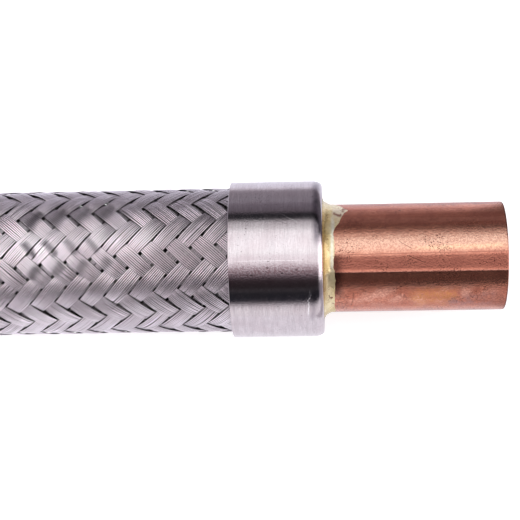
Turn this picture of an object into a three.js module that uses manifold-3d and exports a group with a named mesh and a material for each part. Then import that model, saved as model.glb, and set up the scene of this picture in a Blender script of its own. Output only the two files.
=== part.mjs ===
// A refrigerant-line vibration eliminator: a corrugated steel hose under a braid of
// steel wire, closed at each end by a pressed ferrule with a copper stub brazed in it.
// Units are millimetres. The hose runs along X and Z is up. The origin is the middle
// of the hose on its centre line, and +X points out of the right-hand stub.

import * as THREE from "three";
import { mergeVertices } from "three/addons/utils/BufferGeometryUtils.js";
import Module from "manifold-3d";

const wasm = await Module();
wasm.setup();

// Length over the two stub mouths, and the gap left between pieces that seat.
const overallLength = 260;
const seatGap = 0.3;

// Copper stub, a length of seven-eighths line tube.
const stubDiameter = 22.22;
const stubWall = 1.14;
const stubReach = 36.8;
const stubEdgeBreak = 0.3;

// Braze fillet between the ferrule's end face and the stub.
const filletHeight = 1.5;
const filletLength = 2;
const filletFeather = 0.2;

// Ferrule, a pressed cup with a rounded shoulder and a holed end wall.
const ferruleLength = 18.7;
const ferruleWall = 0.7;
const ferruleEndWall = 1.6;
const shoulderLength = 2;
const shoulderDrop = 1.05;

// Hose with ring corrugations between two plain cuffs, a little narrower inside than
// the stub is outside.
const boreStep = 1.82;
const hoseBore = stubDiameter - boreStep;
const hoseWall = 0.3;
const corrugationDepth = 2.9;
const corrugationPitch = 6.5;
const cuffLength = 8;
const cuffTaper = 1;

// Braid of flat plaits, over two and under two. Rows of crossings run along the hose
// and climb round it by a share of a row for each column.
const plaitPairs = 9;
const weavePitch = 5;
const weaveDrift = 0.1;
const weaveTurn = -0.58;
const weaveShift = 2;
const braidWall = 1.2;
const ridgeHeight = 0.45;
const ridgeReach = 0.22;
const weaveTuck = 1;
const pressedRise = 0.05;

// Open gaps between plaits: every seventh column, at every second crossing in it.
const gapSize = 0.9;
const gapColumns = 7;

// Faces round the turned pieces and round the hose.
const turnedSides = 24;
const hoseSides = 12;
const arcSteps = 3;

// A polygon's flats lie inside its corners by this factor.
const flats = (sides) => Math.cos(Math.PI / sides);

// Radii from the inside out.
const rows = 4 * plaitPairs;
const stubRadius = stubDiameter / 2;
const rootRadius = hoseBore / 2;
const crestRadius = rootRadius + hoseWall + corrugationDepth;
const cuffRadius = (stubRadius + seatGap) / flats(hoseSides);
const ringBore = (cuffRadius + hoseWall + seatGap) / flats(turnedSides);
const ringRadius = crestRadius;
const braidBore = (crestRadius + seatGap) / flats(rows);
const braidRadius = braidBore + braidWall;
const pressedRadius = (braidRadius + pressedRise) / flats(rows);
const ferruleBore = (pressedRadius + seatGap) / flats(turnedSides);
const ferruleRadius = ferruleBore + ferruleWall;
const ferruleHole = stubRadius + seatGap;

// Stations along +X, from the mouth of the stub inwards.
const stubMouth = overallLength / 2;
const ferruleFace = stubMouth - stubReach;
const ferruleMouth = ferruleFace - ferruleLength;
const innerEnd = ferruleFace - ferruleEndWall - seatGap;
const cuffStep = innerEnd - cuffLength;
const weaveEnd = ferruleMouth + weaveTuck;

const copper = new THREE.MeshStandardMaterial({ color: 0xb5705a, roughness: 0.35, metalness: 1 });
const braze = new THREE.MeshStandardMaterial({ color: 0xd8c98c, roughness: 0.4, metalness: 1 });
const ferruleSteel = new THREE.MeshStandardMaterial({ color: 0xb3a7a6, roughness: 0.3, metalness: 1 });
const braidSteel = new THREE.MeshStandardMaterial({ color: 0xb4abaf, roughness: 0.35, metalness: 1 });
const hoseSteel = new THREE.MeshStandardMaterial({ color: 0x9a9796, roughness: 0.4, metalness: 1 });

// A closed outline of [radius, station] points, turned about X with a flat underneath.
function turned(outline, sides) {
  const points = [...outline, outline[0]].map(([radius, station]) => new THREE.Vector2(radius, station));
  return new THREE.LatheGeometry(points, sides, Math.PI / sides).rotateZ(-Math.PI / 2);
}

// Points of a quarter ellipse from an outer point to an end point; bulge +1 rounds
// outwards like a shoulder and -1 inwards like a fillet.
function quarterArc([outerRadius, start], [innerRadius, end], bulge) {
  const points = [];
  for (let step = 0; step <= arcSteps; step += 1) {
    const turn = (step / arcSteps) * (Math.PI / 2);
    const along = bulge > 0 ? Math.sin(turn) : 1 - Math.cos(turn);
    const drop = bulge > 0 ? 1 - Math.cos(turn) : Math.sin(turn);
    points.push([outerRadius + (innerRadius - outerRadius) * drop, start + (end - start) * along]);
  }
  return points;
}

function stubGeometry() {
  const bore = stubRadius - stubWall;
  const tail = cuffStep + seatGap;
  return turned(
    [
      [stubRadius, tail],
      [stubRadius, stubMouth - stubEdgeBreak],
      [stubRadius - stubEdgeBreak, stubMouth],
      [bore, stubMouth],
      [bore, tail],
    ],
    turnedSides,
  );
}

function filletGeometry() {
  const bore = stubRadius + seatGap;
  const foot = ferruleFace + seatGap;
  const curve = quarterArc([bore + filletHeight, foot], [bore + filletFeather, foot + filletLength], -1);
  return turned([...curve, [bore, foot + filletLength], [bore, foot]], turnedSides);
}

function ferruleGeometry() {
  const shoulder = quarterArc(
    [ferruleRadius, ferruleFace - shoulderLength],
    [ferruleRadius - shoulderDrop, ferruleFace],
    1,
  );
  return turned(
    [
      [ferruleRadius, ferruleMouth],
      ...shoulder,
      [ferruleHole, ferruleFace],
      [ferruleHole, ferruleFace - ferruleEndWall],
      [ferruleBore, ferruleFace - ferruleEndWall],
      [ferruleBore, ferruleMouth],
    ],
    turnedSides,
  );
}

// Ring that backs the braid where the ferrule is pressed on to it.
function supportRingGeometry() {
  return turned(
    [
      [ringRadius, cuffStep],
      [ringRadius, innerEnd],
      [ringBore, innerEnd],
      [ringBore, cuffStep],
    ],
    turnedSides,
  );
}

// One thin wall folded into rings, drawn as its outside and its inside line.
function hoseGeometry() {
  const firstRoot = -(cuffStep - cuffTaper);
  const count = Math.max(1, Math.round((-2 * firstRoot) / corrugationPitch));
  const pitch = (-2 * firstRoot) / count;
  const inside = [[cuffRadius, -innerEnd], [cuffRadius, -cuffStep], [rootRadius, firstRoot]];
  for (let fold = 0; fold < count; fold += 1) {
    inside.push([crestRadius - hoseWall, firstRoot + (fold + 0.5) * pitch]);
    inside.push([rootRadius, firstRoot + (fold + 1) * pitch]);
  }
  inside.push([cuffRadius, cuffStep], [cuffRadius, innerEnd]);
  const outside = inside.map(([radius, station]) => [radius + hoseWall, station]);
  return turned([...outside, ...inside.reverse()], hoseSides);
}

// True where an open gap is cut at a corner of the weave.
function isGap(column, row) {
  const station = weaveShift + (column * weavePitch) / 2;
  const inSight = Math.abs(station) < ferruleMouth - gapSize;
  return inSight && column % gapColumns === 0 && ((row % 4) + 4) % 4 < 2;
}

// The outside of the weave as a closed solid. Every visible length of a plait covers
// two crossings and is a low roof: its edge follows the corners of the weave, and a
// ridge runs along its middle. Corners lie where column plus row is odd.
function weaveSolid() {
  const lastColumn = 2 * Math.ceil((weaveEnd + Math.abs(weaveShift)) / weavePitch);
  const lowRadius = braidRadius - ridgeHeight;
  const pitRadius = braidBore - ridgeHeight;
  const positions = [];
  const triangles = [];
  const known = new Map();

  function vertex([column, row], radius) {
    const wrapped = (((row % rows) + rows) % rows).toFixed(3);
    const key = [column.toFixed(3), Number(wrapped) % rows, radius].join();
    if (!known.has(key)) {
      const turn = ((row + weaveDrift * column + weaveTurn) / rows) * 2 * Math.PI;
      const station = weaveShift + (column * weavePitch) / 2;
      positions.push(station, radius * Math.sin(turn), radius * Math.cos(turn));
      known.set(key, known.size);
    }
    return known.get(key);
  }

  // A corner as a plait's edge passes it: one vertex, or those at the rim of its gap.
  function cornerVertices(corner, towards) {
    if (!isGap(corner[0], corner[1])) return [vertex(corner, lowRadius)];
    const reach = gapSize / weavePitch;
    return towards.map((next) => {
      const rim = corner.map((value, axis) => value + (next[axis] - value) * reach);
      return vertex(rim, lowRadius);
    });
  }

  // One visible length of plait over cells a and b, edge points in turn.
  function addPlait(a, b, edge) {
    const around = edge.map((corner, index) => {
      const before = edge[(index + 5) % 6];
      const after = edge[(index + 1) % 6];
      const across = index === 2 ? edge[5] : edge[2];
      return cornerVertices(corner, index % 3 === 2 ? [before, across, after] : [before, after]);
    });
    const [nearMid, farMid] = [around[2], around[5]];
    const nearTurn = nearMid[nearMid.length >> 1];
    const farTurn = farMid[farMid.length >> 1];
    const along = [b[0] - a[0], b[1] - a[1]];
    const ridgeA = vertex([a[0] - ridgeReach * along[0], a[1] - ridgeReach * along[1]], braidRadius);
    const ridgeB = vertex([b[0] + ridgeReach * along[0], b[1] + ridgeReach * along[1]], braidRadius);
    const chainA = [...farMid.slice(farMid.length >> 1), ...around[0], ...around[1]];
    const chainB = [...nearMid.slice(nearMid.length >> 1), ...around[3], ...around[4]];
    chainA.push(...nearMid.slice(0, (nearMid.length >> 1) + 1));
    chainB.push(...farMid.slice(0, (farMid.length >> 1) + 1));
    for (const [chain, ridge] of [[chainA, ridgeA], [chainB, ridgeB]]) {
      for (let k = 0; k + 1 < chain.length; k += 1) triangles.push(chain[k], chain[k + 1], ridge);
    }
    triangles.push(nearTurn, ridgeB, ridgeA, farTurn, ridgeA, ridgeB);
  }

  function addPit(column, row) {
    const reach = gapSize / weavePitch;
    const rim = [[1, 1], [-1, 1], [-1, -1], [1, -1]].map(([u, v]) => [column + u * reach, row + v * reach]);
    const top = rim.map((corner) => vertex(corner, lowRadius));
    const floor = rim.map((corner) => vertex(corner, pitRadius));
    for (let k = 0; k < 4; k += 1) {
      const next = (k + 1) % 4;
      triangles.push(top[k], top[next], floor[next], top[k], floor[next], floor[k]);
    }
    triangles.push(floor[0], floor[1], floor[2], floor[0], floor[2], floor[3]);
  }

  for (let row = 0; row < rows; row += 2) {
    for (let column = -lastColumn; column <= lastColumn; column += 2) {
      const west = [column - 1, row];
      const south = [column, row - 1];
      const east = [column + 1, row];
      const north = [column, row + 1];
      if (row % 4 === 0) {
        const edge = [west, south, east, [column + 2, row + 1], [column + 1, row + 2], north];
        addPlait([column, row], [column + 1, row + 1], edge);
      } else {
        const edge = [south, east, north, [column - 1, row + 2], [column - 2, row + 1], west];
        addPlait([column, row], [column - 1, row + 1], edge);
      }
    }
  }
  for (let column = -lastColumn; column <= lastColumn; column += 1) {
    for (let row = Math.abs(column + 1) % 2; row < rows; row += 2) {
      if (isGap(column, row)) addPit(column, row);
    }
  }

  // The two ragged ends close on to the centre line.
  const lean = [0, 1, 0, -1];
  for (const side of [-1, 1]) {
    const centre = vertex([side * lastColumn, 0], 0);
    const rimVertex = (row) => vertex([side * (lastColumn + 1) + lean[row % 4], row], lowRadius);
    for (let row = 0; row < rows; row += 1) {
      const pair = [rimVertex(row), rimVertex(row + 1)];
      if (side > 0) pair.reverse();
      triangles.push(pair[0], pair[1], centre);
    }
  }

  const vertProperties = new Float32Array(positions);
  return new wasm.Manifold(new wasm.Mesh({ numProp: 3, vertProperties, triVerts: new Uint32Array(triangles) }));
}

// A three.js geometry as a solid that can be cut and joined.
function solidOf(geometry) {
  const bare = new THREE.BufferGeometry();
  bare.setAttribute("position", geometry.getAttribute("position"));
  bare.setIndex(geometry.index);
  const merged = mergeVertices(bare, 1e-4);
  const vertProperties = new Float32Array(merged.getAttribute("position").array);
  const triVerts = new Uint32Array(merged.index.array);
  return new wasm.Manifold(new wasm.Mesh({ numProp: 3, vertProperties, triVerts }));
}

function rodSolid(radius, from, to) {
  return solidOf(new THREE.CylinderGeometry(radius, radius, to - from, rows, 1)
    .translate(0, (from + to) / 2, 0)
    .rotateZ(-Math.PI / 2));
}

// The weave, and under each ferrule a plain length where it is pressed flat.
function braidGeometry() {
  const pressed = [[-innerEnd, -weaveEnd], [weaveEnd, innerEnd]];
  let solid = weaveSolid();
  for (const [from, to] of pressed) solid = solid.add(rodSolid(pressedRadius, from, to));
  solid = solid.subtract(rodSolid(braidBore, -overallLength, overallLength));
  const mesh = solid.getMesh();
  const geometry = new THREE.BufferGeometry();
  geometry.setAttribute("position", new THREE.BufferAttribute(mesh.vertProperties, 3));
  geometry.setIndex(new THREE.BufferAttribute(mesh.triVerts, 1));
  geometry.computeVertexNormals();
  return geometry;
}

function named(name, geometry, material) {
  const mesh = new THREE.Mesh(geometry, material);
  mesh.name = name;
  return mesh;
}

// Everything that one end carries beyond the hose and braid, built on +X.
function makeEnd(side) {
  const end = new THREE.Group();
  end.add(
    named(`${side}_copper_stub`, stubGeometry(), copper),
    named(`${side}_braze_fillet`, filletGeometry(), braze),
    named(`${side}_ferrule`, ferruleGeometry(), ferruleSteel),
    named(`${side}_support_ring`, supportRingGeometry(), hoseSteel),
  );
  return end;
}

const eliminator = new THREE.Group();
eliminator.add(named("corrugated_hose", hoseGeometry(), hoseSteel));
eliminator.add(named("wire_braid", braidGeometry(), braidSteel));

const rightEnd = makeEnd("right");
const leftEnd = makeEnd("left");
leftEnd.rotation.z = Math.PI;
eliminator.add(rightEnd, leftEnd);

export default eliminator;
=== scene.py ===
import math

import bpy
import numpy as np
from mathutils import Matrix, Vector, noise


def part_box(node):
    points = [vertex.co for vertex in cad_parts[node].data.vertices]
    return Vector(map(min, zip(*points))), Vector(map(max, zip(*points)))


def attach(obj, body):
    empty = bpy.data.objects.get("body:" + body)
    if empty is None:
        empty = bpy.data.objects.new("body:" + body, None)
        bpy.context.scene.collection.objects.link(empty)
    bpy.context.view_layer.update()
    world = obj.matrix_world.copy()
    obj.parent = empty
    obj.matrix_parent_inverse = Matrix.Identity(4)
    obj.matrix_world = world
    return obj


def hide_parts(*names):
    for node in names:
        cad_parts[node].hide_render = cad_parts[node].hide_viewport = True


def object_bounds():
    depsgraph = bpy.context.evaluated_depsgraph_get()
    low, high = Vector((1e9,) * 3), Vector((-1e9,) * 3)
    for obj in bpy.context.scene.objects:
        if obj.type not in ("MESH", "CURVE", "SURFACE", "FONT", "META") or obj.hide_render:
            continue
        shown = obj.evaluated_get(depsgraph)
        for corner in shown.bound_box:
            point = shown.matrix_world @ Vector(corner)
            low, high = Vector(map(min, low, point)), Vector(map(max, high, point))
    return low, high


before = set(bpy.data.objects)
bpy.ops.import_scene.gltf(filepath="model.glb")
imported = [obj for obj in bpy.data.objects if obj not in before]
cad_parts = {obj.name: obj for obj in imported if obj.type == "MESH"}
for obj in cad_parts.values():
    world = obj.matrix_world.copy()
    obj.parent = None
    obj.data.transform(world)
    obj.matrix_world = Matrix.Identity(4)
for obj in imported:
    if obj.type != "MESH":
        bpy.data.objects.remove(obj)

mm = 0.001
cadLow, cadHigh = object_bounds()

# places along the hose for the right-hand end, read off the frame
stubTail, stubMouth = (corner.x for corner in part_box("right_copper_stub"))
ferruleMouth, ferruleFace = (corner.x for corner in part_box("right_ferrule"))
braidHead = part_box("wire_braid")[1].x
floorLevel = cadLow.z

# camera

view = {
    "side": 520,  # of the picture, in pixels
    "focal": 1344,  # in pixels
    "height": 279 * mm,  # over the hose's centre line
    "foot": (94.9 * mm, -0.1 * mm),  # where the camera stands, along and across the hose
    "target": (80.05 * mm, -0.1 * mm),  # what the middle of the picture shows
    "roll": -0.98,  # degrees
    "sensor": 36,  # mm
    "nearest": 10 * mm,  # that it shows
}


def makeCamera():
    data = bpy.data.cameras.new("camera")
    data.sensor_width = view["sensor"]
    data.lens = view["focal"] / view["side"] * view["sensor"]
    data.clip_start = view["nearest"]
    camera = bpy.data.objects.new("camera", data)
    bpy.context.scene.collection.objects.link(camera)
    stand = Vector((*view["foot"], view["height"]))
    back = (stand - Vector((*view["target"], 0))).normalized()
    right = Vector((0, 1, 0)).cross(back).normalized()
    axes = Matrix((right, back.cross(right), back)).transposed().to_4x4()
    roll = Matrix.Rotation(math.radians(view["roll"]), 4, "Z")
    camera.matrix_world = Matrix.Translation(stand) @ axes @ roll
    bpy.context.scene.camera = camera


makeCamera()
bpy.context.scene.view_settings.view_transform = "Standard"
print("camera set")

# node helpers


def plugIn(tree, socket, value):
    if isinstance(value, bpy.types.NodeSocket):
        tree.links.new(value, socket)
    elif socket.type == "RGBA" and len(value) == 3:
        socket.default_value = (*value, 1)
    else:
        socket.default_value = value


def addNode(tree, kind, values=None, **settings):
    node = tree.nodes.new(kind)
    for name, value in settings.items():
        setattr(node, name, value)
    for name, value in (values or {}).items():
        plugIn(tree, node.inputs[name], value)
    return node


def addMath(tree, operation, *values):
    node = addNode(tree, "ShaderNodeMath", dict(enumerate(values)), operation=operation)
    return node.outputs[0]


def addBlend(tree, factor, first, second, mode="MIX"):
    values = {0: factor, 6: first, 7: second}
    return addNode(tree, "ShaderNodeMix", values, data_type="RGBA", blend_type=mode).outputs[2]


def addSpread(tree, value, low, high, toLow=0.0, toHigh=1.0, kind="SMOOTHSTEP"):
    ends = {"Value": value, "From Min": low, "From Max": high, "To Min": toLow, "To Max": toHigh}
    return addNode(tree, "ShaderNodeMapRange", ends, interpolation_type=kind).outputs[0]


def addNoise(tree, place, scale, detail=2.0, roughness=0.5):
    values = {"Vector": place, "Scale": scale, "Detail": detail, "Roughness": roughness}
    return addNode(tree, "ShaderNodeTexNoise", values).outputs[0]


def placeInMm(tree):
    place = addNode(tree, "ShaderNodeTexCoord").outputs["Object"]
    return addNode(tree, "ShaderNodeVectorMath", {0: place, "Scale": 1 / mm}, operation="SCALE").outputs[0]


def splitPlace(tree, place):
    return addNode(tree, "ShaderNodeSeparateXYZ", {0: place}).outputs


def newGroup(name, inputs, outputs):
    group = bpy.data.node_groups.new(name, "ShaderNodeTree")
    for label, value in inputs.items():
        kind = "NodeSocketVector" if isinstance(value, tuple) else "NodeSocketFloat"
        group.interface.new_socket(name=label, in_out="INPUT", socket_type=kind).default_value = value
    for label in outputs:
        group.interface.new_socket(name=label, in_out="OUTPUT", socket_type="NodeSocketFloat")
    return group, group.nodes.new("NodeGroupInput").outputs, group.nodes.new("NodeGroupOutput").inputs


def addGroup(tree, group, values):
    node = tree.nodes.new("ShaderNodeGroup")
    node.node_tree = group
    for name, value in values.items():
        plugIn(tree, node.inputs[name], value)
    return node.outputs


# node groups

# how their noise patterns turn into masks; a detail is a noise's detail and roughness
patterns = {
    "fineDetail": (3.0, 0.65),
    "broadScale": 0.23,  # of the broad lines, against the fine ones
    "broadEdge": (0.35, 0.65),  # values of the noise between which a mask grows from none to full
    "toneEdge": (0.25, 0.75),
    "tarnishDetail": {"Patch Size": (4.0, 0.5), "Grain Size": (3.0, 0.7), "Speck Size": (2.0, 0.5)},
    "patchEdge": (0.38, 0.66),
    "grainEdge": (0.36, 0.66),
    "gatherScale": 0.2,
    "gatherEdge": (0.35, 0.65),
    "speckStart": 0.8,  # the noise over which a speck starts, if their share is none
    "speckFall": -0.25,  # and how that changes with their share
    "speckEdge": 0.07,
    "shakeScale": 0.6,
    "shakeDetail": (3.0, 0.5),
    "taper": 0.6,  # the share of a stroke's half length at which it starts to fade
}


# fine lines left by a tool or a die: how many to a mm along X and across it
def makeToolLines():
    inputs = {"Along": 1.0, "Across": 1.0, "Broad Share": 0.5}
    group, given, out = newGroup("toolLines", inputs, ["Height", "Tone"])
    stretch = addNode(group, "ShaderNodeCombineXYZ", {0: given[0], 1: given[1], 2: given[1]}).outputs[0]
    place = addNode(group, "ShaderNodeVectorMath", {0: placeInMm(group), 1: stretch}, operation="MULTIPLY")
    fine = addNoise(group, place.outputs[0], 1.0, *patterns["fineDetail"])
    broad = addNoise(group, place.outputs[0], patterns["broadScale"])
    broad = addSpread(group, broad, *patterns["broadEdge"])
    tone = addNode(group, "ShaderNodeMix", {0: given["Broad Share"], 2: fine, 3: broad}).outputs[0]
    group.links.new(fine, out["Height"])
    group.links.new(addSpread(group, tone, *patterns["toneEdge"]), out["Tone"])
    return group


# soft stains, a fine mottle, and small dark pits that gather in some places more than in others
def makeTarnish():
    inputs = {"Patch Size": 5.0, "Grain Size": 0.5, "Speck Size": 0.5, "Speck Share": 0.3, "Gathering": 0.5}
    group, given, out = newGroup("tarnish", inputs, ["Patches", "Grain", "Specks"])
    place = placeInMm(group)
    patch, grain, speck = (
        addNoise(group, place, addMath(group, "DIVIDE", 1.0, given[size]), *detail)
        for size, detail in patterns["tarnishDetail"].items()
    )
    where = addNoise(group, place, patterns["gatherScale"])
    where = addSpread(group, where, *patterns["gatherEdge"], -1.0, 1.0)
    share = addMath(group, "MULTIPLY_ADD", where, given["Gathering"], given["Speck Share"])
    edge = addMath(group, "MULTIPLY_ADD", share, patterns["speckFall"], patterns["speckStart"])
    full = addMath(group, "ADD", edge, patterns["speckEdge"])
    group.links.new(addSpread(group, patch, *patterns["patchEdge"]), out["Patches"])
    group.links.new(addSpread(group, grain, *patterns["grainEdge"]), out["Grain"])
    group.links.new(addSpread(group, speck, edge, full), out["Specks"])
    return group


# how deep a spot lies under the outermost surface, measured from the hose's centre line
def makeHollows():
    group, given, out = newGroup("hollows", {"Top": 15.0, "Depth": 0.5}, ["Depth Share"])
    parts = splitPlace(group, placeInMm(group))
    height = addMath(group, "MULTIPLY", parts[2], parts[2])
    radius = addMath(group, "SQRT", addMath(group, "MULTIPLY_ADD", parts[1], parts[1], height))
    bottom = addMath(group, "SUBTRACT", given["Top"], given["Depth"])
    group.links.new(addSpread(group, radius, bottom, given["Top"], 1.0, 0.0), out["Depth Share"])
    return group


# one stroke or smear on the upper side: its middle, turn and half lengths as seen from above
def makeStroke():
    inputs = {"Middle": (0.0, 0.0, 0.0), "Turn": (0.0, 0.0, 0.0), "Half Length": 1.0, "Half Width": 0.1}
    group, given, out = newGroup("stroke", {**inputs, "Wobble": 0.3}, ["Mask"])
    place = placeInMm(group)
    shake = addNoise(group, place, patterns["shakeScale"], *patterns["shakeDetail"])
    shake = addMath(group, "SUBTRACT", shake, 0.5)
    here = {"Vector": place, "Location": given["Middle"], "Rotation": given["Turn"]}
    parts = splitPlace(group, addNode(group, "ShaderNodeMapping", here, vector_type="TEXTURE").outputs[0])
    aside = addMath(group, "ABSOLUTE", addMath(group, "MULTIPLY_ADD", shake, given["Wobble"], parts[1]))
    along = addMath(group, "ABSOLUTE", addMath(group, "MULTIPLY_ADD", shake, given["Wobble"], parts[0]))
    across = addSpread(group, aside, 0.0, given["Half Width"], 1.0, 0.0)
    taper = addMath(group, "MULTIPLY", given["Half Length"], patterns["taper"])
    within = addSpread(group, along, taper, given["Half Length"], 1.0, 0.0)
    upper = addSpread(group, splitPlace(group, place)[2], 0.0, 1.0)
    mask = addMath(group, "MULTIPLY", addMath(group, "MULTIPLY", across, within), upper)
    group.links.new(mask, out["Mask"])
    return group


toolLines = makeToolLines()
tarnish = makeTarnish()
hollows = makeHollows()
stroke = makeStroke()

# metals

# what specks and painted shade do to every metal's skin
skin = {
    "speckRough": 0.1,
    "speckRise": -0.5,
    "paintedShadeRough": 0.3,
    "grooveEdge": (0.14, 0.62),  # values of a wire's own groove between which painted shade fills it
}


# strokes of another colour: each has a place, a turn, half sizes in mm and a strength
def addStrokes(tree, colour, height, stains, strokes):
    for mark in strokes:
        values = {
            "Middle": (*mark["middle"], 0.0),
            "Turn": (0.0, 0.0, math.radians(mark["turn"])),
            "Half Length": mark["halfLength"],
            "Half Width": mark["halfWidth"],
            "Wobble": mark["wobble"],
        }
        mask = addMath(tree, "MULTIPLY", addGroup(tree, stroke, values)["Mask"], mark["strength"])
        if "mask" in mark:
            mask = addMath(tree, "MULTIPLY", mask, stains[mark["mask"]])
        colour = addBlend(tree, mask, colour, mark["colour"])
        height = addMath(tree, "MULTIPLY_ADD", mask, mark["rise"], height)
    return colour, height


def makeMetal(name, look, grooveName=None):
    material = bpy.data.materials.new(name)
    material.use_nodes = True
    tree = material.node_tree
    shader = tree.nodes["Principled BSDF"]
    shader.inputs["Metallic"].default_value = look["metallic"]
    lines = addGroup(tree, toolLines, look["lines"])
    stains = addGroup(tree, tarnish, look["stains"])
    colour = addBlend(tree, lines["Tone"], look["lineColour"], look["colour"])
    patches = addMath(tree, "MULTIPLY", stains["Patches"], look["patchStrength"])
    colour = addBlend(tree, patches, colour, look["patchColour"])
    colour, height = addStrokes(tree, colour, lines["Height"], stains, look.get("strokes", []))
    grain = addMath(tree, "MULTIPLY", stains["Grain"], look["grainStrength"])
    colour = addBlend(tree, grain, colour, look["patchColour"])
    colour = addBlend(tree, stains["Specks"], colour, look["speckColour"])
    rough = addSpread(tree, lines["Tone"], 0.0, 1.0, look["roughness"][1], look["roughness"][0], "LINEAR")
    rough = addMath(tree, "MULTIPLY_ADD", stains["Specks"], skin["speckRough"], rough)
    height = addMath(tree, "MULTIPLY_ADD", stains["Grain"], -look["grainDepth"], height)
    height = addMath(tree, "MULTIPLY_ADD", stains["Specks"], skin["speckRise"], height)
    if "hollows" in look:
        # painted shade: darker the deeper a spot lies, and on a wire also down its own sides
        paintedShade = addGroup(tree, hollows, look["hollows"])["Depth Share"]
        if grooveName:
            groove = addNode(tree, "ShaderNodeAttribute", attribute_name=grooveName).outputs["Fac"]
            fromMiddle = addMath(tree, "ABSOLUTE", splitPlace(tree, placeInMm(tree))[0])
            groove = addMath(tree, "ADD", groove, addSpread(tree, fromMiddle, *look["grooveShadeSpread"]))
            paintedShade = addMath(tree, "MAXIMUM", paintedShade, addSpread(tree, groove, *skin["grooveEdge"]))
        colour = addBlend(tree, paintedShade, colour, look["paintedShadeColour"])
        rough = addMath(tree, "MULTIPLY_ADD", paintedShade, skin["paintedShadeRough"], rough)
    bump = {"Strength": 1.0, "Distance": look["relief"], "Height": height}
    tree.links.new(colour, shader.inputs["Base Color"])
    tree.links.new(rough, shader.inputs["Roughness"])
    tree.links.new(addNode(tree, "ShaderNodeBump", bump).outputs[0], shader.inputs["Normal"])
    return material


# a small dark pit in the skin
def makePit(x, y):
    return {
        "middle": (x, y), "turn": 0, "halfLength": 0.3, "halfWidth": 0.24,
        "wobble": 0.3, "strength": 0.9, "colour": (0.10, 0.06, 0.06), "rise": -1.0,
    }


# painted dark reflections on the braid
darkReflections = {
    "count": 4,  # in a row
    "fade": 0.12,  # from one to the next
    "wobble": 1.2,
    "colour": (0.16, 0.14, 0.16),
}


# a row of soft patches of painted dark reflection, one on each length of plait
def makeDarkReflections(first, step, turn, halfLength, halfWidth, strength):
    row = []
    for k in range(darkReflections["count"]):
        row.append({
            "middle": (first[0] + k * step[0], first[1] + k * step[1]),
            "turn": turn,
            "halfLength": halfLength,
            "halfWidth": halfWidth,
            "wobble": darkReflections["wobble"],
            "strength": strength * (1 - darkReflections["fade"] * k),
            "colour": darkReflections["colour"],
            "rise": 0.0,
        })
    return row


ferruleLook = {
    "metallic": 1.0,
    "colour": (0.72, 0.66, 0.69),
    "lineColour": (0.58, 0.53, 0.56),
    "patchColour": (0.50, 0.40, 0.43),
    "speckColour": (0.10, 0.06, 0.06),
    "patchStrength": 0.25,
    "grainStrength": 0.25,
    "grainDepth": 0.3,
    "lines": {"Along": 6.0, "Across": 0.45, "Broad Share": 0.15},
    "stains": {
        "Patch Size": 4.0, "Grain Size": 0.4, "Speck Size": 0.3, "Speck Share": 0.28, "Gathering": 0.3,
    },
    "roughness": (0.07, 0.17),
    "relief": 0.010 * mm,
    "strokes": [
        {  # a fine raised line along the top, painted bright as a highlight
            "middle": (82.5, -0.3), "turn": 0, "halfLength": 7.5, "halfWidth": 0.12,
            "wobble": 0.1, "strength": 0.8, "colour": (0.95, 0.92, 0.94), "rise": 0.5,
        },
        {  # a dark strip under it: a painted reflection, grainy and slightly sunk
            "middle": (83, -2.4), "turn": 0, "halfLength": 11, "halfWidth": 2.2,
            "wobble": 1.5, "strength": 0.8, "colour": (0.36, 0.22, 0.24), "rise": -0.6, "mask": "Grain",
        },
        {  # a bright scrape near the shoulder
            "middle": (90.3, -8.5), "turn": 84, "halfLength": 3.0, "halfWidth": 0.3,
            "wobble": 1.2, "strength": 1, "colour": (1.0, 0.97, 1.0), "rise": 3.0,
        },
        {  # and painted shade of the dent beside it
            "middle": (91.2, -9.0), "turn": 84, "halfLength": 4.0, "halfWidth": 0.9,
            "wobble": 1.0, "strength": 0.65, "colour": (0.34, 0.30, 0.34), "rise": 0.0,
        },
        {  # a painted dark reflection on the shoulder
            "middle": (92.0, 9.4), "turn": 90, "halfLength": 8.0, "halfWidth": 1.3,
            "wobble": 0.5, "strength": 0.9, "colour": (0.17, 0.15, 0.18), "rise": 0.0,
        },
        {  # two small scratches on the upper side
            "middle": (86.5, 8.2), "turn": -28, "halfLength": 2.2, "halfWidth": 0.09,
            "wobble": 0.5, "strength": 0.8, "colour": (0.92, 0.9, 0.92), "rise": 0.4,
        },
        {
            "middle": (85.0, 7.4), "turn": -22, "halfLength": 1.6, "halfWidth": 0.07,
            "wobble": 0.4, "strength": 0.7, "colour": (0.3, 0.26, 0.28), "rise": -0.6,
        },
        *[makePit(*spot) for spot in ((79.2, -3.2), (82.3, -1.7), (85.1, -2.9), (88.0, -2.2))],
    ],
}
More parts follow.
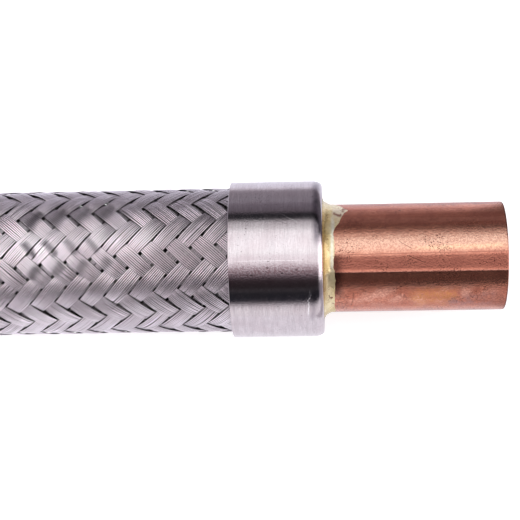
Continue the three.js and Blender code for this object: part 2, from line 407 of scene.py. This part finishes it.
copperLook = {
    "metallic": 0.9,
    "colour": (0.74, 0.30, 0.20),
    "lineColour": (0.60, 0.21, 0.135),
    "patchColour": (0.42, 0.14, 0.10),
    "speckColour": (0.09, 0.02, 0.015),
    "patchStrength": 0.45,
    "grainStrength": 0.5,
    "grainDepth": 1.0,
    "lines": {"Along": 0.06, "Across": 2.2, "Broad Share": 0.45},
    "stains": {
        "Patch Size": 3.0, "Grain Size": 0.4, "Speck Size": 0.24, "Speck Share": 0.55, "Gathering": 0.42,
    },
    "roughness": (0.15, 0.24),
    "relief": 0.012 * mm,
    "strokes": [
        {  # paler along the top, partly rubbed and partly a painted highlight
            "middle": (113, 3.0), "turn": 1, "halfLength": 26, "halfWidth": 3.6,
            "wobble": 0.8, "strength": 0.9, "colour": (0.84, 0.54, 0.41), "rise": 0.0,
        },
        {  # a painted highlight, brightest near the mouth
            "middle": (120.5, 1.9), "turn": 1, "halfLength": 11, "halfWidth": 0.8,
            "wobble": 0.8, "strength": 0.6, "colour": (0.98, 0.66, 0.42), "rise": 0.2,
        },
        {  # and duller on the flat beside it, partly a painted dark reflection
            "middle": (113, -1.3), "turn": 0, "halfLength": 26, "halfWidth": 2.6,
            "wobble": 0.4, "strength": 0.65, "colour": (0.44, 0.16, 0.115), "rise": 0.0,
        },
        {  # mottled low down, first darker and then paler
            "middle": (113, -8.2), "turn": 0, "halfLength": 26, "halfWidth": 4.0,
            "wobble": 1.5, "strength": 0.8, "colour": (0.42, 0.15, 0.10), "rise": -0.6, "mask": "Grain",
        },
        {
            "middle": (109, -7.6), "turn": 0, "halfLength": 22, "halfWidth": 3.5,
            "wobble": 1.5, "strength": 0.7, "colour": (0.92, 0.50, 0.38), "rise": 0.0, "mask": "Patches",
        },
        {  # a fine seam where the flat begins
            "middle": (114, 0.75), "turn": 0.4, "halfLength": 24, "halfWidth": 0.14,
            "wobble": 0.25, "strength": 0.65, "colour": (0.16, 0.05, 0.04), "rise": -0.6,
        },
        {  # a short scratch in the pale strip
            "middle": (109.6, 2.4), "turn": -32, "halfLength": 1.6, "halfWidth": 0.09,
            "wobble": 0.4, "strength": 0.8, "colour": (0.12, 0.04, 0.03), "rise": -1.0,
        },
        {  # a longer one across the flat
            "middle": (111.8, -0.5), "turn": -23, "halfLength": 2.4, "halfWidth": 0.1,
            "wobble": 0.3, "strength": 1, "colour": (0.07, 0.02, 0.015), "rise": -1.5,
        },
        {  # a painted highlight along the raised line beside the flat
            "middle": (113, -2.85), "turn": 0, "halfLength": 26, "halfWidth": 0.22,
            "wobble": 0.15, "strength": 0.5, "colour": (0.96, 0.52, 0.40), "rise": 0.0,
        },
        {  # an orange-brown stain near the lower edge
            "middle": (115.4, -8.0), "turn": 2, "halfLength": 5.5, "halfWidth": 2.8,
            "wobble": 3.5, "strength": 1, "colour": (0.86, 0.38, 0.12), "rise": 0.8, "mask": "Grain",
        },
        {  # the dark edge of the mouth
            "middle": (130.0, 0), "turn": 90, "halfLength": 17, "halfWidth": 0.45,
            "wobble": 0.2, "strength": 0.8, "colour": (0.16, 0.05, 0.04), "rise": 0.0,
        },
        {  # bluish tarnish towards the mouth
            "middle": (122.5, -8.9), "turn": 2, "halfLength": 5.5, "halfWidth": 1.6,
            "wobble": 2.0, "strength": 0.7, "colour": (0.30, 0.17, 0.20), "rise": 0.0, "mask": "Patches",
        },
        {  # darkened near black beside the braze
            "middle": (95.7, -3.6), "turn": 90, "halfLength": 5.0, "halfWidth": 1.9,
            "wobble": 1.2, "strength": 0.85, "colour": (0.04, 0.012, 0.012), "rise": 0.0,
        },
        {  # a thin line near the braze
            "middle": (99.0, -8.3), "turn": 80, "halfLength": 1.5, "halfWidth": 0.13,
            "wobble": 1.0, "strength": 0.9, "colour": (0.10, 0.03, 0.02), "rise": -1.0,
        },
    ],
}
wireLook = {
    "metallic": 1.0,
    "colour": (0.96, 0.89, 0.95),
    "lineColour": (0.83, 0.76, 0.82),
    "patchColour": (0.64, 0.54, 0.58),
    "speckColour": (0.15, 0.12, 0.13),
    "patchStrength": 0.3,
    "grainStrength": 0.1,
    "grainDepth": 0.0,
    "lines": {"Along": 0.8, "Across": 0.8, "Broad Share": 0.6},
    "stains": {
        "Patch Size": 4.0, "Grain Size": 0.8, "Speck Size": 0.4, "Speck Share": 0.1, "Gathering": 0.2,
    },
    "roughness": (0.10, 0.17),
    "relief": 0.003 * mm,
    # painted shade, darker the deeper a spot lies in the weave
    "hollows": {"Top": 14.56, "Depth": 0.5},
    "grooveShadeSpread": (30, 80, -0.05, 0.14),  # mm from the middle between which the painted shade in the grooves grows, and from what to what
    "paintedShadeColour": (0.035, 0.03, 0.032),
    "strokes": [
        {  # painted dark reflection, duller towards the ferrule
            "middle": (70.5, 2.2), "turn": 0, "halfLength": 14, "halfWidth": 8.5,
            "wobble": 3.0, "strength": 0.85, "colour": (0.40, 0.34, 0.37), "rise": 0.0,
        },
        {  # and more painted dark reflection a little further back
            "middle": (52.5, 0.8), "turn": -8, "halfLength": 12, "halfWidth": 5.0,
            "wobble": 3.0, "strength": 0.5, "colour": (0.40, 0.34, 0.37), "rise": 0.0,
        },
        # rows of painted dark reflections on the plaits
        *makeDarkReflections((34.9, 2.6), (4.2, 0.28), -50, 2.4, 1.3, 0.9),
        *makeDarkReflections((35.4, 8.7), (4.8, 0.32), 50, 2.5, 2.3, 1.0),
        *makeDarkReflections((35.9, -1.8), (4.75, 0.42), 50, 1.9, 1.7, 0.8),
    ],
}
hoseLook = {
    "metallic": 1.0,
    "colour": (0.50, 0.48, 0.48),
    "lineColour": (0.38, 0.36, 0.36),
    "patchColour": (0.30, 0.27, 0.25),
    "speckColour": (0.10, 0.09, 0.09),
    "patchStrength": 0.3,
    "grainStrength": 0.2,
    "grainDepth": 0.2,
    "lines": {"Along": 2.0, "Across": 0.1, "Broad Share": 0.4},
    "stains": {
        "Patch Size": 5.0, "Grain Size": 0.5, "Speck Size": 0.4, "Speck Share": 0.2, "Gathering": 0.3,
    },
    "roughness": (0.28, 0.42),
    "relief": 0.008 * mm,
    # painted shade, darker the deeper the hose lies inside the braid
    "hollows": {"Top": 14.2, "Depth": 3.2},
    "paintedShadeColour": (0.03, 0.026, 0.026),
}
brazeLook = {
    "metallic": 0.6,
    "colour": (0.98, 0.86, 0.55),
    "lineColour": (0.86, 0.70, 0.38),
    "patchColour": (0.52, 0.38, 0.14),
    "speckColour": (0.20, 0.06, 0.04),
    "patchStrength": 0.25,
    "grainStrength": 0.3,
    "grainDepth": 0.4,
    "lines": {"Along": 1.1, "Across": 0.9, "Broad Share": 0.5},
    "stains": {
        "Patch Size": 1.5, "Grain Size": 0.6, "Speck Size": 0.45, "Speck Share": 0.4, "Gathering": 0.5,
    },
    "roughness": (0.18, 0.34),
    "relief": 0.04 * mm,
    "strokes": [
        {  # golden brown, painted darker as shade in the corner against the ferrule
            "middle": (93.3, 0.5), "turn": 90, "halfLength": 12, "halfWidth": 1.8,
            "wobble": 0.8, "strength": 0.85, "colour": (0.46, 0.30, 0.10), "rise": 0.0,
        },
        {  # a painted highlight along the fillet beside the copper
            "middle": (95.1, 3.0), "turn": 88, "halfLength": 6.5, "halfWidth": 0.6,
            "wobble": 0.4, "strength": 0.95, "colour": (1.0, 0.99, 0.86), "rise": 0.3,
        },
        {  # dark flux left in the hollow
            "middle": (93.6, 6.0), "turn": 84, "halfLength": 4.0, "halfWidth": 0.5,
            "wobble": 1.0, "strength": 0.7, "colour": (0.10, 0.09, 0.04), "rise": -0.3, "mask": "Grain",
        },
        {  # and a brown trace of it lower down
            "middle": (94.0, -3.4), "turn": 90, "halfLength": 1.6, "halfWidth": 0.4,
            "wobble": 0.9, "strength": 0.6, "colour": (0.20, 0.12, 0.04), "rise": -0.3, "mask": "Grain",
        },
        {  # pale low down
            "middle": (94.3, -6.6), "turn": 90, "halfLength": 4.0, "halfWidth": 1.4,
            "wobble": 0.8, "strength": 0.8, "colour": (1.0, 0.86, 0.56), "rise": 0.0,
        },
        {  # thin pale tinning
            "middle": (97.0, 9.2), "turn": 0, "halfLength": 2.2, "halfWidth": 2.6,
            "wobble": 0.8, "strength": 0.85, "colour": (0.97, 0.88, 0.74), "rise": 0.0,
        },
        {  # copper showing through the tinning
            "middle": (96.2, 8.8), "turn": -25, "halfLength": 1.0, "halfWidth": 0.55,
            "wobble": 0.8, "strength": 0.9, "colour": (0.22, 0.05, 0.04), "rise": -0.3,
        },
        {
            "middle": (97.6, 9.9), "turn": 35, "halfLength": 0.7, "halfWidth": 0.4,
            "wobble": 0.8, "strength": 0.85, "colour": (0.24, 0.06, 0.05), "rise": -0.3,
        },
    ],
}

ferruleSteel = makeMetal("turnedFerruleSteel", ferruleLook)
drawnCopper = makeMetal("drawnCopper", copperLook)
braidWire = makeMetal("brightBraidWire", wireLook, "groove")
hoseSteel = makeMetal("thinHoseSteel", hoseLook)
brazeAlloy = makeMetal("paleBrazeAlloy", brazeLook)
print("metals made")

# meshes


def addPiece(name, points, faces, material, nodes, sharpAngle=None, groove=None):
    mesh = bpy.data.meshes.new(name)
    mesh.from_pydata(points, [], faces)
    mesh.polygons.foreach_set("use_smooth", [True] * len(mesh.polygons))
    mesh.materials.append(material)
    if sharpAngle:
        mesh.set_sharp_from_angle(angle=math.radians(sharpAngle))
    if groove is not None:
        mesh.attributes.new("groove", "FLOAT", "POINT").data.foreach_set("value", groove)
    piece = bpy.data.objects.new(name, mesh)
    bpy.context.scene.collection.objects.link(piece)
    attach(piece, "root")
    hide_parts(*nodes)


# a closed outline of (radius, station) for each step round X; side -1 is the left end
def turnOutline(outlineAt, steps, side=1):
    rings = [outlineAt(step / steps * 2 * math.pi) for step in range(steps)]
    count = len(rings[0])
    points = []
    faces = []
    for step, ring in enumerate(rings):
        turn = step / steps * 2 * math.pi
        for radius, station in ring:
            points.append((side * station, side * radius * math.sin(turn), radius * math.cos(turn)))
        after = (step + 1) % steps
        for k in range(count):
            up = (k + 1) % count
            faces.append((step * count + k, step * count + up, after * count + up, after * count + k))
    return points, faces


# points on a quarter of an ellipse; out bulges outwards, and otherwise it hollows in
def quarterArc(start, end, steps, out=True):
    points = []
    for step in range(steps + 1):
        turn = step / steps * math.pi / 2
        drop = 1 - math.cos(turn) if out else math.sin(turn)
        along = math.sin(turn) if out else 1 - math.cos(turn)
        points.append((start[0] + (end[0] - start[0]) * drop, start[1] + (end[1] - start[1]) * along))
    return points


def turnGap(turn, middle):
    return (turn - middle + math.pi) % (2 * math.pi) - math.pi


stub = {
    "radius": 11.11 * mm,
    "wall": 1.14 * mm,
    "edge": 0.3 * mm,
    "edgeSteps": 4,
    "flatMiddle": math.radians(-7),  # a shallow flat along the tube
    "flatHalf": math.radians(9),
    "ridgeTurn": math.radians(-14.8),  # a raised line beside it
    "ridgeHalf": math.radians(1.3),
    "ridge": 0.065 * mm,
    "steps": 320,
    "sharp": 50,  # degrees over which an edge is sharp
}
ferrule = {
    "radius": cadHigh.z,
    "wall": 0.68 * mm,
    "endWall": 1.6 * mm,
    "shoulder": (1.05 * mm, 2.0 * mm),
    "shoulderSteps": 12,
    "edge": 0.07 * mm,
    "clearance": 0.1 * mm,  # round the stub
    "lean": 0.012,  # it is pressed on slightly askew
    "steps": 192,
    "sharp": 40,
}


# how far the drawn tube's skin departs from round
def stubSkin(turn):
    fromFlat = turnGap(turn, stub["flatMiddle"])
    drop = 0.0
    if abs(fromFlat) < stub["flatHalf"]:
        drop = stub["radius"] * (1 - math.cos(stub["flatHalf"]) / math.cos(fromFlat))
    fromRidge = turnGap(turn, stub["ridgeTurn"]) / stub["ridgeHalf"]
    return stub["ridge"] * math.exp(-fromRidge * fromRidge) - drop


def makeStub(name, side):
    edge = stub["edge"]
    bore = stub["radius"] - stub["wall"]

    def outlineAt(turn):
        outer = stub["radius"] + stubSkin(turn)
        outline = [(outer, stubTail)]
        outline += quarterArc((outer, stubMouth - edge), (outer - edge, stubMouth), stub["edgeSteps"])
        outline += [(bore + edge / 2, stubMouth), (bore, stubMouth - edge / 2), (bore, stubTail)]
        return outline

    points, faces = turnOutline(outlineAt, stub["steps"], side)
    nodes = [f"{name}_copper_stub"]
    addPiece(f"{name}_stub_tube", points, faces, drawnCopper, nodes, stub["sharp"])


def makeFerrule(name, side):
    outer = ferrule["radius"]
    bore = outer - ferrule["wall"]
    edge = ferrule["edge"]
    drop, reach = ferrule["shoulder"]
    hole = stub["radius"] + ferrule["clearance"]
    inside = ferruleFace - ferrule["endWall"]
    shoulderStart = (outer, ferruleFace - reach)
    outline = [(outer - edge, ferruleMouth), (outer, ferruleMouth + edge)]
    outline += quarterArc(shoulderStart, (outer - drop, ferruleFace), ferrule["shoulderSteps"])
    outline += [(hole, ferruleFace), (hole, inside), (bore, inside), (bore, ferruleMouth)]

    def outlineAt(turn):
        lean = ferrule["lean"] * math.sin(turn)
        return [(radius, station - lean * (radius - hole)) for radius, station in outline]

    points, faces = turnOutline(outlineAt, ferrule["steps"], side)
    nodes = [f"{name}_ferrule"]
    addPiece(f"{name}_turned_cup", points, faces, ferruleSteel, nodes, ferrule["sharp"])


braze = {
    "height": 1.75 * mm,  # up the ferrule's face
    "length": 2.0 * mm,
    "film": 0.05 * mm,  # its thickness where the fillet ends
    "thinning": 0.4,  # of the film at the end of its tail
    "tail": 0.25 * mm,  # of thin alloy beyond the fillet
    "spill": 2.6 * mm,  # how far the thin tinning runs where it runs furthest
    "spillTurn": math.radians(58),
    "spillWidth": math.radians(17),
    "lump": 0.2 * mm,
    "lumpScale": 4.2,
    "lumpStep": 0.55,
    "lumpLean": 0.6,  # how much of a lump's swell goes along the tube
    # unevenness round the tube, each wave with its scale and its share
    "heightWaves": [(2.7, 0.16)],
    "lengthWaves": [(3.9, 0.14), (13, 0.10)],
    "spillWaves": [(9, 0.4)],
    "endShift": 3.1,  # makes the two ends differ
    "arcSteps": 9,
    "steps": 260,
    "sink": 0.15 * mm,  # how far it reaches into the stub and the ferrule
    "sharp": 60,
}


def unevenness(around, waves):
    return 1 + sum(share * noise.noise(around * scale) for scale, share in waves)


def makeBraze(name, side):
    inner = stub["radius"] - braze["sink"]
    foot = ferruleFace - braze["sink"]
    count = braze["arcSteps"]

    def outlineAt(turn):
        around = Vector((math.cos(turn), math.sin(turn), side * braze["endShift"]))
        height = braze["height"] * unevenness(around, braze["heightWaves"])
        length = braze["length"] * unevenness(around, braze["lengthWaves"])
        away = turnGap(turn, braze["spillTurn"])
        spill = braze["spill"] * math.exp(-((away / braze["spillWidth"]) ** 2))
        spill *= unevenness(around, braze["spillWaves"])
        start = (stub["radius"] + height, ferruleFace)
        end = (stub["radius"] + braze["film"], ferruleFace + length)
        lumpy = []
        for index, (radius, station) in enumerate(quarterArc(start, end, count, out=False)):
            spot = around * braze["lumpScale"] + Vector((0, 0, index * braze["lumpStep"]))
            swell = braze["lump"] * noise.noise(spot) * math.sin(math.pi * index / count)
            lumpy.append((radius + swell, station + braze["lumpLean"] * swell))
        thin = stub["radius"] + braze["film"] * braze["thinning"]
        tail = (thin, ferruleFace + length + braze["tail"] + spill)
        return [*lumpy, tail, (inner, tail[1]), (inner, foot), (start[0], foot)]

    points, faces = turnOutline(outlineAt, braze["steps"], side)
    nodes = [f"{name}_braze_fillet"]
    addPiece(f"{name}_run_braze", points, faces, brazeAlloy, nodes, braze["sharp"])


for name, side in (("right", 1), ("left", -1)):
    makeStub(name, side)
    makeFerrule(name, side)
    makeBraze(name, side)
print("ends made")

hose = {
    "bore": 10.2 * mm,
    "crest": 13.4 * mm,
    "wall": 0.3 * mm,
    "cuff": 11.45 * mm,
    "cuffLength": 8 * mm,
    "taper": 1 * mm,
    "folds": 25,
    "foldPoints": 10,
    "steps": 96,
    "sharp": 60,
}


def makeHose():
    step = braidHead - hose["cuffLength"]
    first = step - hose["taper"]
    pitch = 2 * first / hose["folds"]
    middle = (hose["crest"] - hose["wall"] + hose["bore"]) / 2
    swing = middle - hose["bore"]
    line = [(hose["cuff"], -braidHead), (hose["cuff"], -step)]
    for k in range(hose["folds"] * hose["foldPoints"] + 1):
        turn = k / hose["foldPoints"] * 2 * math.pi
        line.append((middle - swing * math.cos(turn), -first + pitch * k / hose["foldPoints"]))
    line += [(hose["cuff"], step), (hose["cuff"], braidHead)]
    outline = [(radius + hose["wall"], station) for radius, station in line] + line[::-1]
    points, faces = turnOutline(lambda turn: outline, hose["steps"])
    nodes = ["corrugated_hose"]
    addPiece("ringed_hose", points, faces, hoseSteel, nodes, hose["sharp"])


makeHose()
for ring in ("right_support_ring", "left_support_ring"):
    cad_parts[ring].data.materials.clear()
    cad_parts[ring].data.materials.append(hoseSteel)
print("hose made")

# braid

braid = {
    "plaitsEachWay": 18,
    "pitch": 5.0 * mm,  # of crossings in one row along the hose
    "shift": 2.0 * mm,
    "turn": -0.58,  # in rows
    "drift": 0.1,  # rows climbed for each column
    "outside": 14.95 * mm,
    "lift": 0.28 * mm,
    "flatness": 2.6,
    "arch": 0.7,  # how much of the lift is a plain arch
    "wires": 8,
    "wirePitch": 0.350 * mm,
    "fan": 0.13,  # how much plait and wires spread in the middle of a length that lies on top
    "halfWidth": 0.172 * mm,  # of a wire, which is pressed a little flat
    "halfHeight": 0.075 * mm,
    "crown": 0.04 * mm,
    "bob": 0.012 * mm,  # how far a wire lies over or under its neighbours
    "bobWave": 1.7,
    "stray": 0.03 * mm,
    "strayWaves": ((0.9, 1.0), (2.1, 0.6)),  # each with its pace and its share
    "looseStray": 0.12 * mm,
    "looseWave": 0.23,
    "looseShare": 0.12,
    "lapStart": {1: -0.5, -1: 2.5},  # for plaits that climb and plaits that fall
    "endClear": 0.05,  # in crossings, the least from a stop to the end of a wire
    # a wire's outline in shares of its half width and half height, and how much painted shade each point
    # takes
    "section": ((-0.5, 0.9), (0.5, 0.9), (1, 0), (0.5, -0.9), (-0.5, -0.9), (-1, 0)),
    "grooves": (0.0, 0.0, 0.6, 1.0, 1.0, 0.6),
    "stops": (0, 0.4, 0.72, 0.95, 1.18, 1.5, 2, 2.5, 2.82, 3.05, 3.28, 3.6),
    "tarnish": 0.14,  # how much more of it the dullest wire has
    "seed": 11,
}
rowTurn = math.pi / braid["plaitsEachWay"]
columnStep = braid["pitch"] / 2
middleRadius = braid["outside"] - braid["halfHeight"] - braid["lift"]


# where a point of the weave lies: columns run along the hose and rows round it
def placeOnBraid(column, row, radius):
    turn = (row + braid["drift"] * column + braid["turn"]) * rowTurn
    return np.stack([braid["shift"] + column * columnStep, radius * np.sin(turn), radius * np.cos(turn)], 1)


# distance between neighbouring plaits that climb (1) or fall (-1) round the hose
def plaitSpacing(way):
    arc = middleRadius * rowTurn
    return 2 * columnStep * arc / math.hypot(columnStep, arc * (1 + way * braid["drift"]))


# +1 in the middle of a length that lies over two crossings, and -1 where it lies under
def overAndUnder(travel):
    wave = np.cos(travel * np.pi / 2)
    flat = np.tanh(braid["flatness"] * wave) / math.tanh(braid["flatness"])
    return flat + braid["arch"] * (wave - flat)


def wireLine(way, plait, wire, dice):
    across = wire - (braid["wires"] - 1) / 2
    aside = across * braid["wirePitch"] / plaitSpacing(way)
    start = (-braidHead - braid["shift"]) / columnStep
    end = (braidHead - braid["shift"]) / columnStep
    # travel counts crossings from the middle of a length that lies on top, four to a lap
    offset = way * (2 * plait + aside) + braid["lapStart"][way]
    first = start + offset
    last = end + offset
    laps = range(int(first // 4) - 1, int(last // 4) + 2)
    stops = np.array([4 * lap + stop for lap in laps for stop in braid["stops"]])
    inside = stops[(stops > first + braid["endClear"]) & (stops < last - braid["endClear"])]
    travel = np.concatenate([[first], inside, [last]])
    column = travel - offset
    phases = dice.uniform(0, 2 * math.pi, 4)
    loose = braid["looseStray"] if dice.uniform() < braid["looseShare"] else 0
    wander = loose * np.sin(column * braid["looseWave"] + phases[2]) ** 3
    for (pace, share), phase in zip(braid["strayWaves"], phases):
        wander += braid["stray"] * share * np.sin(column * pace + phase)
    spread = 1 + braid["fan"] * ((1 + np.cos(travel * np.pi / 2)) / 2) ** 2
    row = way * column + 2 * (plait + aside * spread + wander / plaitSpacing(way))
    sag = braid["crown"] * (across / (braid["wires"] / 2)) ** 2
    sag -= braid["bob"] * np.sin(column * braid["bobWave"] + phases[3])
    radius = middleRadius + braid["lift"] * overAndUnder(travel) - sag
    return placeOnBraid(column, row, radius), spread


def wireTube(line, spread):
    along = np.gradient(line, axis=0)
    along /= np.linalg.norm(along, axis=1)[:, None]
    out = line * (0, 1, 1)
    out -= along * np.sum(out * along, axis=1)[:, None]
    out /= np.linalg.norm(out, axis=1)[:, None]
    beside = np.cross(out, along)
    beside *= spread[:, None]
    section = np.array(braid["section"]) * (braid["halfWidth"], braid["halfHeight"])
    sides = len(section)
    ring = beside[:, None] * section[None, :, :1] + out[:, None] * section[None, :, 1:]
    points = (line[:, None] + ring).reshape(-1, 3)
    here = np.arange((len(line) - 1) * sides).reshape(-1, sides)
    after = np.roll(here, -1, axis=1)
    faces = np.stack([here, here + sides, after + sides, after], 2).reshape(-1, 4)
    last = (len(line) - 1) * sides
    halves = np.array([[0, 1, 2, 3], [0, 3, 4, 5]])
    return points, np.concatenate([faces, halves, last + halves[:, ::-1]])


def makePlait(name, way, plait, dice):
    allPoints = []
    allFaces = []
    groove = []
    for wire in range(braid["wires"]):
        points, faces = wireTube(*wireLine(way, plait, wire, dice))
        allFaces.append(faces + len(groove))
        allPoints.append(points)
        dull = braid["tarnish"] * dice.uniform() ** 2
        groove += [share + dull for share in braid["grooves"]] * (len(points) // len(braid["section"]))
    points = np.concatenate(allPoints).tolist()
    faces = np.concatenate(allFaces).tolist()
    addPiece(name, points, faces, braidWire, ["wire_braid"], groove=groove)


dice = np.random.default_rng(braid["seed"])
for plait in range(braid["plaitsEachWay"]):
    makePlait(f"climbing_plait_{plait + 1:02d}", 1, plait, dice)
    makePlait(f"falling_plait_{plait + 1:02d}", -1, plait, dice)
print("braid made")

counts = [sum(len(face.vertices) - 2 for face in mesh.polygons) for mesh in bpy.data.meshes]
print("triangles:", sum(counts), "and the largest piece", max(counts))

# studio

studio = {
    # brightness round the hose, by degrees from straight up; the picture's lower side is positive
    "bands": [
        (-180, (0.9, 0.9, 0.95)),
        (-128, (0.6, 0.58, 0.64)),
        (-116, (0.31, 0.29, 0.33)),
        (-100, (0.29, 0.26, 0.30)),
        (-84, (0.19, 0.17, 0.20)),
        (-74, (0.15, 0.13, 0.15)),
        (-71, (0.015, 0.015, 0.018)),
        (-61, (0.03, 0.03, 0.035)),
        (-57, (0.6, 0.59, 0.6)),
        (-48, (0.8, 0.8, 0.8)),
        (-40, (1.3, 1.3, 1.3)),
        (-20, (1.5, 1.5, 1.5)),
        (-9, (1.46, 1.5, 1.48)),
        (-5, (1.25, 1.2, 1.22)),
        (4, (1.28, 1.24, 1.25)),
        (11, (0.82, 0.76, 0.79)),
        (17, (0.5, 0.42, 0.45)),
        (23, (0.19, 0.15, 0.17)),
        (29, (0.04, 0.028, 0.032)),
        (42, (0.02, 0.016, 0.018)),
        (46, (0.06, 0.055, 0.06)),
        (50, (0.02, 0.02, 0.024)),
        (64, (0.022, 0.022, 0.03)),
        (68, (0.3, 0.28, 0.30)),
        (73, (0.8, 0.78, 0.80)),
        (82, (1.05, 1.03, 1.06)),
        (100, (1.0, 0.98, 1.02)),
        (180, (0.9, 0.88, 0.92)),
    ],
    # the same towards the stub's mouth, where low light counts as if it came from higher up
    "stubwardRise": 0.6,
    "stubwardBands": [
        (-180, (0.9, 0.9, 0.95)),
        (-100, (0.6, 0.57, 0.62)),
        (-75, (0.16, 0.15, 0.17)),
        (-31, (0.10, 0.09, 0.11)),
        (-24, (1.2, 1.17, 1.2)),
        (-16, (2.3, 2.24, 2.28)),
        (17, (2.2, 2.12, 2.16)),
        (26, (0.3, 0.27, 0.29)),
        (48, (0.35, 0.32, 0.36)),
        (65, (0.6, 0.57, 0.62)),
        (90, (1.1, 1.08, 1.12)),
        (180, (0.9, 0.88, 0.92)),
    ],
    # and towards the hose's far end
    "hosewardBands": [
        (-180, (0.9, 0.9, 0.95)),
        (-105, (0.45, 0.42, 0.46)),
        (-88, (0.25, 0.23, 0.26)),
        (-76, (0.04, 0.04, 0.05)),
        (-63, (0.03, 0.03, 0.04)),
        (-56, (1.2, 1.18, 1.2)),
        (-46, (2.6, 2.54, 2.6)),
        (-4, (2.6, 2.5, 2.55)),
        (6, (0.9, 0.84, 0.87)),
        (14, (0.5, 0.46, 0.49)),
        (30, (0.55, 0.51, 0.54)),
        (42, (0.85, 0.80, 0.84)),
        (70, (0.75, 0.70, 0.75)),
        (77, (0.85, 0.81, 0.87)),
        (100, (0.95, 0.91, 0.97)),
        (180, (0.9, 0.88, 0.92)),
    ],
    "stubward": (0.5, 0.75),  # shares of a full look along the hose between which they take over
    "hoseward": (0.28, 0.55),
    # what shiny metal sees of the table, across the hose in mm
    "floorBands": [
        (-120, (1.05, 1.04, 1.1)),
        (-17, (1.0, 0.98, 1.05)),
        (-13, (0.5, 0.46, 0.5)),
        (-6, (0.45, 0.41, 0.45)),
        (-4, (1.2, 1.15, 1.2)),
        (4, (1.2, 1.15, 1.2)),
        (6, (0.12, 0.11, 0.13)),
        (12.5, (0.12, 0.11, 0.13)),
        (15.5, (0.98, 0.98, 1.1)),
        (36, (0.98, 0.98, 1.1)),
        (43, (0.8, 0.77, 0.84)),
        (50, (0.38, 0.35, 0.40)),
        (60, (0.30, 0.27, 0.31)),
        (120, (0.28, 0.26, 0.3)),
    ],
    # and of the table beyond the stub's mouth, by how far aside it is for each 100 mm away
    "beyondBands": [
        (-90, (0.6, 0.57, 0.62)),
        (-34, (0.45, 0.42, 0.47)),
        (-24, (2.0, 1.95, 2.0)),
        (14, (2.0, 1.95, 2.0)),
        (26, (0.10, 0.09, 0.11)),
        (90, (0.14, 0.13, 0.15)),
    ],
    "beyondUnit": 100,
    "beyond": (131, 137),  # mm along the hose between which it takes over
    "floorSize": 1.6,  # m
    "floorColour": (0.86, 0.86, 0.86),
    "floorLift": 0.6,  # glow that only the camera sees, which keeps the table white
    "floorGloss": 0.95,  # how much of the bands shiny metal sees
}


def addBands(tree, value, bands):
    low, high = bands[0][0], bands[-1][0]
    node = addNode(tree, "ShaderNodeValToRGB", {0: addSpread(tree, value, low, high, kind="LINEAR")})
    elements = node.color_ramp.elements
    while len(elements) < len(bands):
        elements.new(1.0)
    for element, (place, colour) in zip(elements, bands):
        element.position = (place - low) / (high - low)
        element.color = (*colour, 1)
    return node.outputs[0]


def makeWorld():
    world = bpy.data.worlds.new("studio")
    bpy.context.scene.world = world
    world.use_nodes = True
    tree = world.node_tree
    tree.nodes.clear()
    parts = splitPlace(tree, addNode(tree, "ShaderNodeTexCoord").outputs["Generated"])
    aside = addMath(tree, "MULTIPLY", parts[1], -1.0)
    angle = addMath(tree, "DEGREES", addMath(tree, "ARCTAN2", aside, parts[2]))
    colour = addBands(tree, angle, studio["bands"])
    ahead = addSpread(tree, parts[0], *studio["stubward"])
    raised = addMath(tree, "MULTIPLY_ADD", parts[0], studio["stubwardRise"], parts[2])
    aheadAngle = addMath(tree, "DEGREES", addMath(tree, "ARCTAN2", aside, raised))
    colour = addBlend(tree, ahead, colour, addBands(tree, aheadAngle, studio["stubwardBands"]))
    behind = addSpread(tree, addMath(tree, "MULTIPLY", parts[0], -1.0), *studio["hoseward"])
    colour = addBlend(tree, behind, colour, addBands(tree, angle, studio["hosewardBands"]))
    lit = addNode(tree, "ShaderNodeBackground", {"Color": colour}).outputs[0]
    white = addNode(tree, "ShaderNodeBackground", {"Color": (1, 1, 1)}).outputs[0]
    seen = addNode(tree, "ShaderNodeLightPath").outputs["Is Camera Ray"]
    mixed = addNode(tree, "ShaderNodeMixShader", {0: seen, 1: lit, 2: white}).outputs[0]
    addNode(tree, "ShaderNodeOutputWorld", {"Surface": mixed})


def makeFloor():
    half = studio["floorSize"] / 2
    mesh = bpy.data.meshes.new("floor")
    corners = [(-half, -half, 0), (half, -half, 0), (half, half, 0), (-half, half, 0)]
    mesh.from_pydata(corners, [], [(0, 1, 2, 3)])
    floor = bpy.data.objects.new("floor", mesh)
    floor.location.z = floorLevel
    bpy.context.scene.collection.objects.link(floor)
    material = bpy.data.materials.new("whiteTable")
    material.use_nodes = True
    tree = material.node_tree
    tree.nodes.clear()
    along, across = splitPlace(tree, placeInMm(tree))[:2]
    away = addMath(tree, "SUBTRACT", along, ferruleFace / mm)
    aside = addMath(tree, "MULTIPLY", addMath(tree, "DIVIDE", across, away), studio["beyondUnit"])
    beyond = addBands(tree, aside, studio["beyondBands"])
    path = addNode(tree, "ShaderNodeLightPath").outputs
    plain = addNode(tree, "ShaderNodeBsdfDiffuse", {"Color": studio["floorColour"]}).outputs[0]
    shown = addMath(tree, "MULTIPLY", path["Is Camera Ray"], studio["floorLift"])
    lift = addNode(tree, "ShaderNodeEmission", {"Strength": shown}).outputs[0]
    table = addNode(tree, "ShaderNodeAddShader", {0: plain, 1: lift}).outputs[0]
    taken = addSpread(tree, along, *studio["beyond"])
    colour = addBlend(tree, taken, addBands(tree, across, studio["floorBands"]), beyond)
    mirrored = addNode(tree, "ShaderNodeEmission", {"Color": colour})
    share = addMath(tree, "MULTIPLY", path["Is Glossy Ray"], studio["floorGloss"])
    mixed = addNode(tree, "ShaderNodeMixShader", {0: share, 1: table, 2: mirrored.outputs[0]}).outputs[0]
    addNode(tree, "ShaderNodeOutputMaterial", {"Surface": mixed})
    mesh.materials.append(material)


makeWorld()
makeFloor()
print("studio made")
